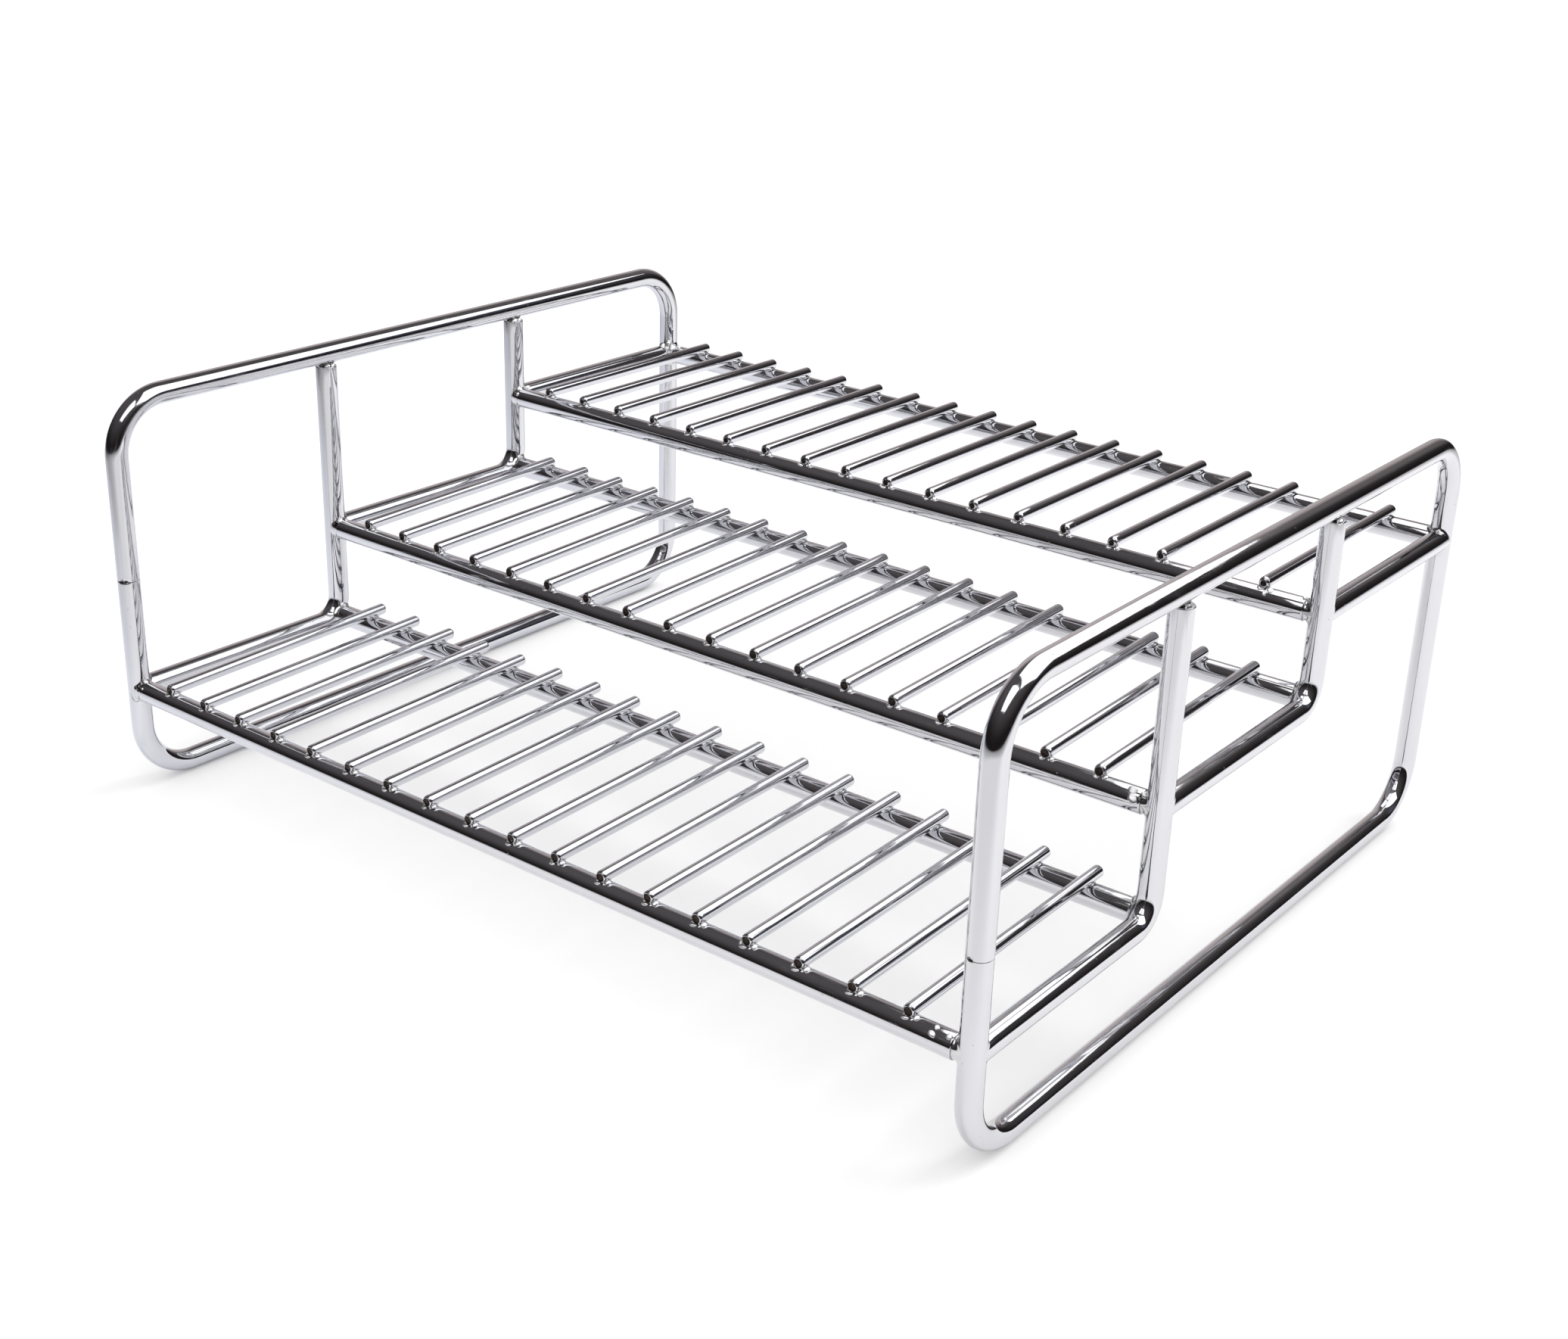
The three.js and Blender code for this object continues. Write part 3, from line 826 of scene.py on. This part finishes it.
for side, sign in (("left", -1), ("right", 1)):
    x = sign * SIDE_X
    mesh = Mesh()
    ends = [
        (-LEG_Y, 39.0, 1), (-51.0, 77.0, 1), (48.5, 109.0, 1), (LEG_Y, 109.0, -1),
    ]
    for i, (y, z, way) in enumerate(ends):
        place = (lambda a, b, c, y=y, z=z, way=way: Vector((x + a, y - way * c, z + b)))
        tee_weld(mesh, place, R, 0, lambda a, b: abs(a), 1.3, 1.0, 500 + i + 20 * (sign > 0))
    # riser tops: a flat end under a round run, joined by a narrow waist painted
    # dark all over as shade in the gap under the run, with a nugget or two of
    # metal at its mouth whose bright tint is a painted highlight
    for i, y in enumerate((-51.0, 48.5)):
        pa, pp, pb, pq = [], [], [], []
        n = 40
        for j in range(n):
            t = 2 * math.pi * j / n
            c, s = math.cos(t), math.sin(t)
            k = 1 + 0.25 * lump((c * 2, s * 2, 0), 0.9, 700 + i + 9 * (sign > 0))
            ax, ay = 2.0 * k * c, 3.0 * k * s
            bx, by = 2.3 * k * c, 3.9 * k * s
            wx, wy = 1.6 * c, 2.7 * s
            pa.append(Vector((x + ax, y + ay, RISER_TOP - 0.05)))
            pb.append(Vector((x + bx, y + by, TOP_Z - math.sqrt(R * R - bx * bx) + 0.03)))
            pp.append(Vector((x + wx, y + wy, (RISER_TOP + TOP_Z - R) / 2)))
            pq.append(Vector((x + wx * 0.3, y + wy * 0.3, (RISER_TOP + TOP_Z - R) / 2)))
        collar(mesh, pa, pp, pb, pq, arc_steps=8, concave=0.0, toe=1.0, gap_shade=0.9)
        for dx, dy, dz, axis, radius, height, stretch in NUGGETS[side][i]:
            bead(mesh, (x + dx, y + dy, RISER_TOP + dz), axis, radius, height,
                 dx * 3 + i, stretch, (0, 1, 0.2))
    # a small flash of weld metal standing on the rear rail against each riser
    for y, z in ((-52.0, 41.0), (47.5, 79.0)):
        bead(mesh, (x - sign * 3.9, y - 1.1, z + 4.4), (-sign * 0.8, -0.5, 0.35), 0.9, 0.45,
             y + sign, 1.7, (0, 0.1, 1))
    if side == "left":
        # heavy weld over the back corner of the top shelf
        for dx, dy, dz, radius, height, stretch in (
                (2.6, -2.9, 3.3, 2.3, 1.1, 1.15), (0.9, -4.6, 3.6, 1.7, 0.8, 1.35), (4.3, -2.4, 3.2, 1.6, 0.8, 1.3),
                (2.9, -3.2, 5.6, 1.2, 0.7, 1.2)):
            bead(mesh, (x + dx, LEG_Y + dy, 109.0 + dz), (0.45, -0.45, 0.77), radius, height,
                 dx * 5, stretch, (1, -1, 0))
        bead(mesh, (x + 3.2, 48.5 + 4.3, 109.0 + 3.3), (0.45, -0.3, 0.8), 1.0, 0.5, 3.3, 1.3, (0, 1, 0))
        # the edge of a weld that ran down the leg under the lower rail
        points = []
        for j in range(15):
            u = j / 14
            a = math.radians(-88 + 68 * u)
            zz = 38.2 - 3.0 * math.sin(math.pi * u) ** 0.7
            points.append((x + R * math.cos(a), -LEG_Y + R * math.sin(a), zz))
        run_of_weld(mesh, points, 0.16)
    make(f"{side}_side_welds", mesh, [m_weld, m_bead_highlight])


# ----------------------------------------------------------------- the studio
def emission(name, colour, strength):
    mat = bpy.data.materials.new(name)
    mat.use_nodes = True
    nt = mat.node_tree
    nt.nodes.clear()
    out = nt.nodes.new("ShaderNodeOutputMaterial")
    em = nt.nodes.new("ShaderNodeEmission")
    em.inputs["Color"].default_value = (*colour, 1)
    em.inputs["Strength"].default_value = strength
    nt.links.new(em.outputs[0], out.inputs["Surface"])
    return mat, em


def panel(name, corners, colour, strength):
    """A lit studio card: the chrome reflects it, and nothing else sees it."""
    data = bpy.data.meshes.new(name)
    data.from_pydata([tuple(c) for c in corners], [], [(0, 1, 2, 3)])
    mat, em = emission(name, colour, strength)
    data.materials.append(mat)
    obj = bpy.data.objects.new(name, data)
    bpy.context.scene.collection.objects.link(obj)
    obj.visible_camera = False
    obj.visible_diffuse = False
    obj.visible_shadow = False
    return obj, mat, em


def plane(name, x0, y0, x1, y1, z, mat):
    data = bpy.data.meshes.new(name)
    data.from_pydata([(x0, y0, z), (x1, y0, z), (x1, y1, z), (x0, y1, z)], [], [(0, 1, 2, 3)])
    data.materials.append(mat)
    obj = bpy.data.objects.new(name, data)
    bpy.context.scene.collection.objects.link(obj)
    return obj


# The floor is a wide white sweep that the camera sees. The chrome sees a table
# top instead, whose colour paints the light on it: a pool of light that falls
# away with distance.
fm = bpy.data.materials.new("floor_white")
fm.use_nodes = True
fb = fm.node_tree.nodes["Principled BSDF"]
fb.inputs["Base Color"].default_value = (0.76, 0.757, 0.755, 1)
fb.inputs["Roughness"].default_value = 1.0
fb.inputs["Specular IOR Level"].default_value = 0.0
fb.inputs["Emission Color"].default_value = (1.0, 0.998, 0.996, 1)
fb.inputs["Emission Strength"].default_value = 0.17
floor = plane("floor", -9, -9, 9, 9, -0.00005, fm)
floor.visible_glossy = False
floor.visible_diffuse = False
floor.visible_shadow = False

tm = bpy.data.materials.new("table_white")
tm.use_nodes = True
nt = tm.node_tree
tb = nt.nodes["Principled BSDF"]
tb.inputs["Roughness"].default_value = 1.0
tb.inputs["Specular IOR Level"].default_value = 0.0
tc = nt.nodes.new("ShaderNodeTexCoord")
fall = nt.nodes.new("ShaderNodeMapping")
fall.inputs["Location"].default_value = (-0.25 / 1.5, 0.05 * 0.7 / 1.5, 0.0)
fall.inputs["Scale"].default_value = (1 / 1.5, 0.7 / 1.5, 1 / 1.5)
nt.links.new(tc.outputs["Object"], fall.inputs["Vector"])
ball = nt.nodes.new("ShaderNodeTexGradient")
ball.gradient_type = "SPHERICAL"
nt.links.new(fall.outputs["Vector"], ball.inputs["Vector"])
glow = nt.nodes.new("ShaderNodeValToRGB")
stops = [(0.0, 0.03), (0.20, 0.10), (0.367, 0.27), (0.48, 0.42), (0.587, 0.50), (0.667, 0.62), (0.707, 0.77), (0.75, 0.88)]
while len(glow.color_ramp.elements) < len(stops):
    glow.color_ramp.elements.new(0.5)
for element, (at, value) in zip(glow.color_ramp.elements, stops):
    element.position = at
    element.color = (value, value * 0.997, value * 1.006, 1)
nt.links.new(ball.outputs["Fac"], glow.inputs["Fac"])
table_parts = nt.nodes.new("ShaderNodeSeparateXYZ")
nt.links.new(tc.outputs["Object"], table_parts.inputs["Vector"])
# painted shade: the table's colour darkens towards its front edge
near_edge = nt.nodes.new("ShaderNodeMapRange")
near_edge.interpolation_type = "SMOOTHSTEP"
near_edge.inputs["From Min"].default_value = -0.34
near_edge.inputs["From Max"].default_value = -0.12
near_edge.inputs["To Min"].default_value = 0.79
near_edge.inputs["To Max"].default_value = 1.0
nt.links.new(table_parts.outputs["Y"], near_edge.inputs["Value"])
# painted light: a cool pale patch added to the table's colour on the left
left_x = nt.nodes.new("ShaderNodeMapRange")
left_x.interpolation_type = "SMOOTHSTEP"
left_x.inputs["From Min"].default_value = -0.05
left_x.inputs["From Max"].default_value = -0.27
left_x.inputs["To Min"].default_value = 0.0
left_x.inputs["To Max"].default_value = 0.20
nt.links.new(table_parts.outputs["X"], left_x.inputs["Value"])
left_y = nt.nodes.new("ShaderNodeMapRange")
left_y.interpolation_type = "SMOOTHSTEP"
left_y.inputs["From Min"].default_value = -0.50
left_y.inputs["From Max"].default_value = -0.33
nt.links.new(table_parts.outputs["Y"], left_y.inputs["Value"])
left_y2 = nt.nodes.new("ShaderNodeMapRange")
left_y2.interpolation_type = "SMOOTHSTEP"
left_y2.inputs["From Min"].default_value = 0.75
left_y2.inputs["From Max"].default_value = 0.45
nt.links.new(table_parts.outputs["Y"], left_y2.inputs["Value"])
left_a = nt.nodes.new("ShaderNodeMath")
left_a.operation = "MULTIPLY"
nt.links.new(left_y.outputs["Result"], left_a.inputs[0])
nt.links.new(left_y2.outputs["Result"], left_a.inputs[1])
left_b = nt.nodes.new("ShaderNodeMath")
left_b.operation = "MULTIPLY"
nt.links.new(left_x.outputs["Result"], left_b.inputs[0])
nt.links.new(left_a.outputs[0], left_b.inputs[1])
lift = nt.nodes.new("ShaderNodeVectorMath")
lift.operation = "ADD"
nt.links.new(glow.outputs["Color"], lift.inputs[0])
cool = nt.nodes.new("ShaderNodeVectorMath")
cool.operation = "MULTIPLY"
cool.inputs[1].default_value = (0.94, 0.98, 1.20)
nt.links.new(left_b.outputs[0], cool.inputs[0])
nt.links.new(cool.outputs["Vector"], lift.inputs[1])
dim = nt.nodes.new("ShaderNodeVectorMath")
dim.operation = "SCALE"
nt.links.new(lift.outputs["Vector"], dim.inputs[0])
nt.links.new(near_edge.outputs["Result"], dim.inputs["Scale"])
nt.links.new(dim.outputs["Vector"], tb.inputs["Base Color"])
table = plane("table_top", -1.6, -1.6, 1.6, 1.6, -0.00006, tm)
table.visible_camera = False
table.visible_diffuse = False
table.visible_shadow = False

# A big softbox hung over the back of the rack, and a second one in front of it
panel("softbox_over", [(0.779, 0.226, 0.373), (-0.060, 0.410, 0.368),
                       (-0.169, -0.071, 0.909), (0.670, -0.255, 0.914)], (1.0, 1.0, 1.0), 1.75)
panel("softbox_front", [(0.485, -0.258, 0.75), (0.36, -0.80, 0.75),
                        (-0.10, -0.80, 0.75), (-0.08, -0.26, 0.75)], (1.0, 1.0, 1.0), 1.75)

world = bpy.data.worlds.new("studio")
bpy.context.scene.world = world
world.use_nodes = True
bg = world.node_tree.nodes["Background"]
bg.inputs["Color"].default_value = (1.0, 1.0, 1.0, 1)
bg.inputs["Strength"].default_value = 1.15

# The room round the table, as the chrome sees it: dark at the horizon, greyer
# overhead, with a pale wall behind the left corner.
room_mat, room_em = emission("room", (1.0, 1.0, 1.0), 1.0)
nt = room_mat.node_tree
tc = nt.nodes.new("ShaderNodeTexCoord")
unit = nt.nodes.new("ShaderNodeVectorMath")
unit.operation = "NORMALIZE"
nt.links.new(tc.outputs["Object"], unit.inputs[0])
parts = nt.nodes.new("ShaderNodeSeparateXYZ")
nt.links.new(unit.outputs["Vector"], parts.inputs["Vector"])
rise = nt.nodes.new("ShaderNodeMapRange")
rise.interpolation_type = "SMOOTHSTEP"
rise.inputs["From Min"].default_value = 0.0
rise.inputs["From Max"].default_value = 0.86
rise.inputs["To Min"].default_value = 0.0
rise.inputs["To Max"].default_value = 1.0
nt.links.new(parts.outputs["Z"], rise.inputs["Value"])
tone = nt.nodes.new("ShaderNodeMix")
tone.data_type = "RGBA"
tone.inputs["A"].default_value = (0.014, 0.0115, 0.012, 1)
tone.inputs["B"].default_value = (0.085, 0.078, 0.080, 1)
nt.links.new(rise.outputs["Result"], tone.inputs["Factor"])


def lobe(azimuth, elevation, inner, outer, colour, before):
    """Adds a soft round patch of light in one direction."""
    az, el = math.radians(azimuth), math.radians(elevation)
    aim = (math.sin(az) * math.cos(el), math.cos(az) * math.cos(el), math.sin(el))
    dot = nt.nodes.new("ShaderNodeVectorMath")
    dot.operation = "DOT_PRODUCT"
    dot.inputs[1].default_value = aim
    nt.links.new(unit.outputs["Vector"], dot.inputs[0])
    near = nt.nodes.new("ShaderNodeMapRange")
    near.interpolation_type = "SMOOTHSTEP"
    near.inputs["From Min"].default_value = math.cos(math.radians(outer))
    near.inputs["From Max"].default_value = math.cos(math.radians(inner))
    nt.links.new(dot.outputs["Value"], near.inputs["Value"])
    add = nt.nodes.new("ShaderNodeMix")
    add.data_type = "RGBA"
    add.blend_type = "ADD"
    add.clamp_factor = True
    add.inputs["B"].default_value = (*colour, 1)
    nt.links.new(near.outputs["Result"], add.inputs["Factor"])
    nt.links.new(before, add.inputs["A"])
    return add.outputs["Result"]


light = tone.outputs["Result"]
light = lobe(-46, 2, 4, 46, (0.58, 0.52, 0.515), light)
light = lobe(-6, 27, 4, 26, (0.10, 0.088, 0.088), light)
light = lobe(-95, 36, 5, 40, (0.018, 0.018, 0.022), light)
light = lobe(52, 22, 3, 14, (0.05, 0.06, 0.09), light)
nt.links.new(light, room_em.inputs["Color"])
room = bpy.data.meshes.new("room")
rr = 30.0
room.from_pydata([(sx * rr, sy * rr, sz * rr) for sx in (-1, 1) for sy in (-1, 1) for sz in (-1, 1)], [],
                 [(0, 1, 3, 2), (4, 6, 7, 5), (0, 4, 5, 1), (2, 3, 7, 6), (0, 2, 6, 4), (1, 5, 7, 3)])
room.materials.append(room_mat)
room_obj = bpy.data.objects.new("room", room)
bpy.context.scene.collection.objects.link(room_obj)
room_obj.visible_camera = False
room_obj.visible_shadow = False
room_obj.visible_diffuse = False

sun_data = bpy.data.lights.new("daylight", "SUN")
sun_data.energy = 0.95
sun_data.angle = math.radians(35)
sun = bpy.data.objects.new("daylight", sun_data)
sun.rotation_mode = "QUATERNION"
sun.rotation_quaternion = Vector((-0.25, -0.55, -0.80)).to_track_quat("-Z", "Y")
sun.visible_glossy = False
sun.visible_camera = False
bpy.context.scene.collection.objects.link(sun)

# --------------------------------------------------------------------- camera
cam_data = bpy.data.cameras.new("camera")
cam = bpy.data.objects.new("camera", cam_data)
bpy.context.scene.collection.objects.link(cam)
from mathutils import Matrix
right = Vector((0.78492944, 0.61887873, 0.02957846))
down = Vector((0.26530632, -0.29258241, -0.91869913))
ahead = Vector((-0.55990922, 0.72896135, -0.39384899))
place = Vector((0.435665337, -0.564915830, 0.358044363))
cam.matrix_world = Matrix((
    (right.x, -down.x, -ahead.x, place.x),
    (right.y, -down.y, -ahead.y, place.y),
    (right.z, -down.z, -ahead.z, place.z),
    (0, 0, 0, 1),
))
cam_data.sensor_fit = "HORIZONTAL"
cam_data.sensor_width = 36.0
cam_data.lens = 36.0 * 2816.161 / 2072.0
cam_data.clip_start, cam_data.clip_end = 0.01, 60.0
bpy.context.scene.camera = cam

view = bpy.context.scene.view_settings
view.view_transform = "Standard"
view.look = "None"
view.exposure = 0.0
view.gamma = 1.0
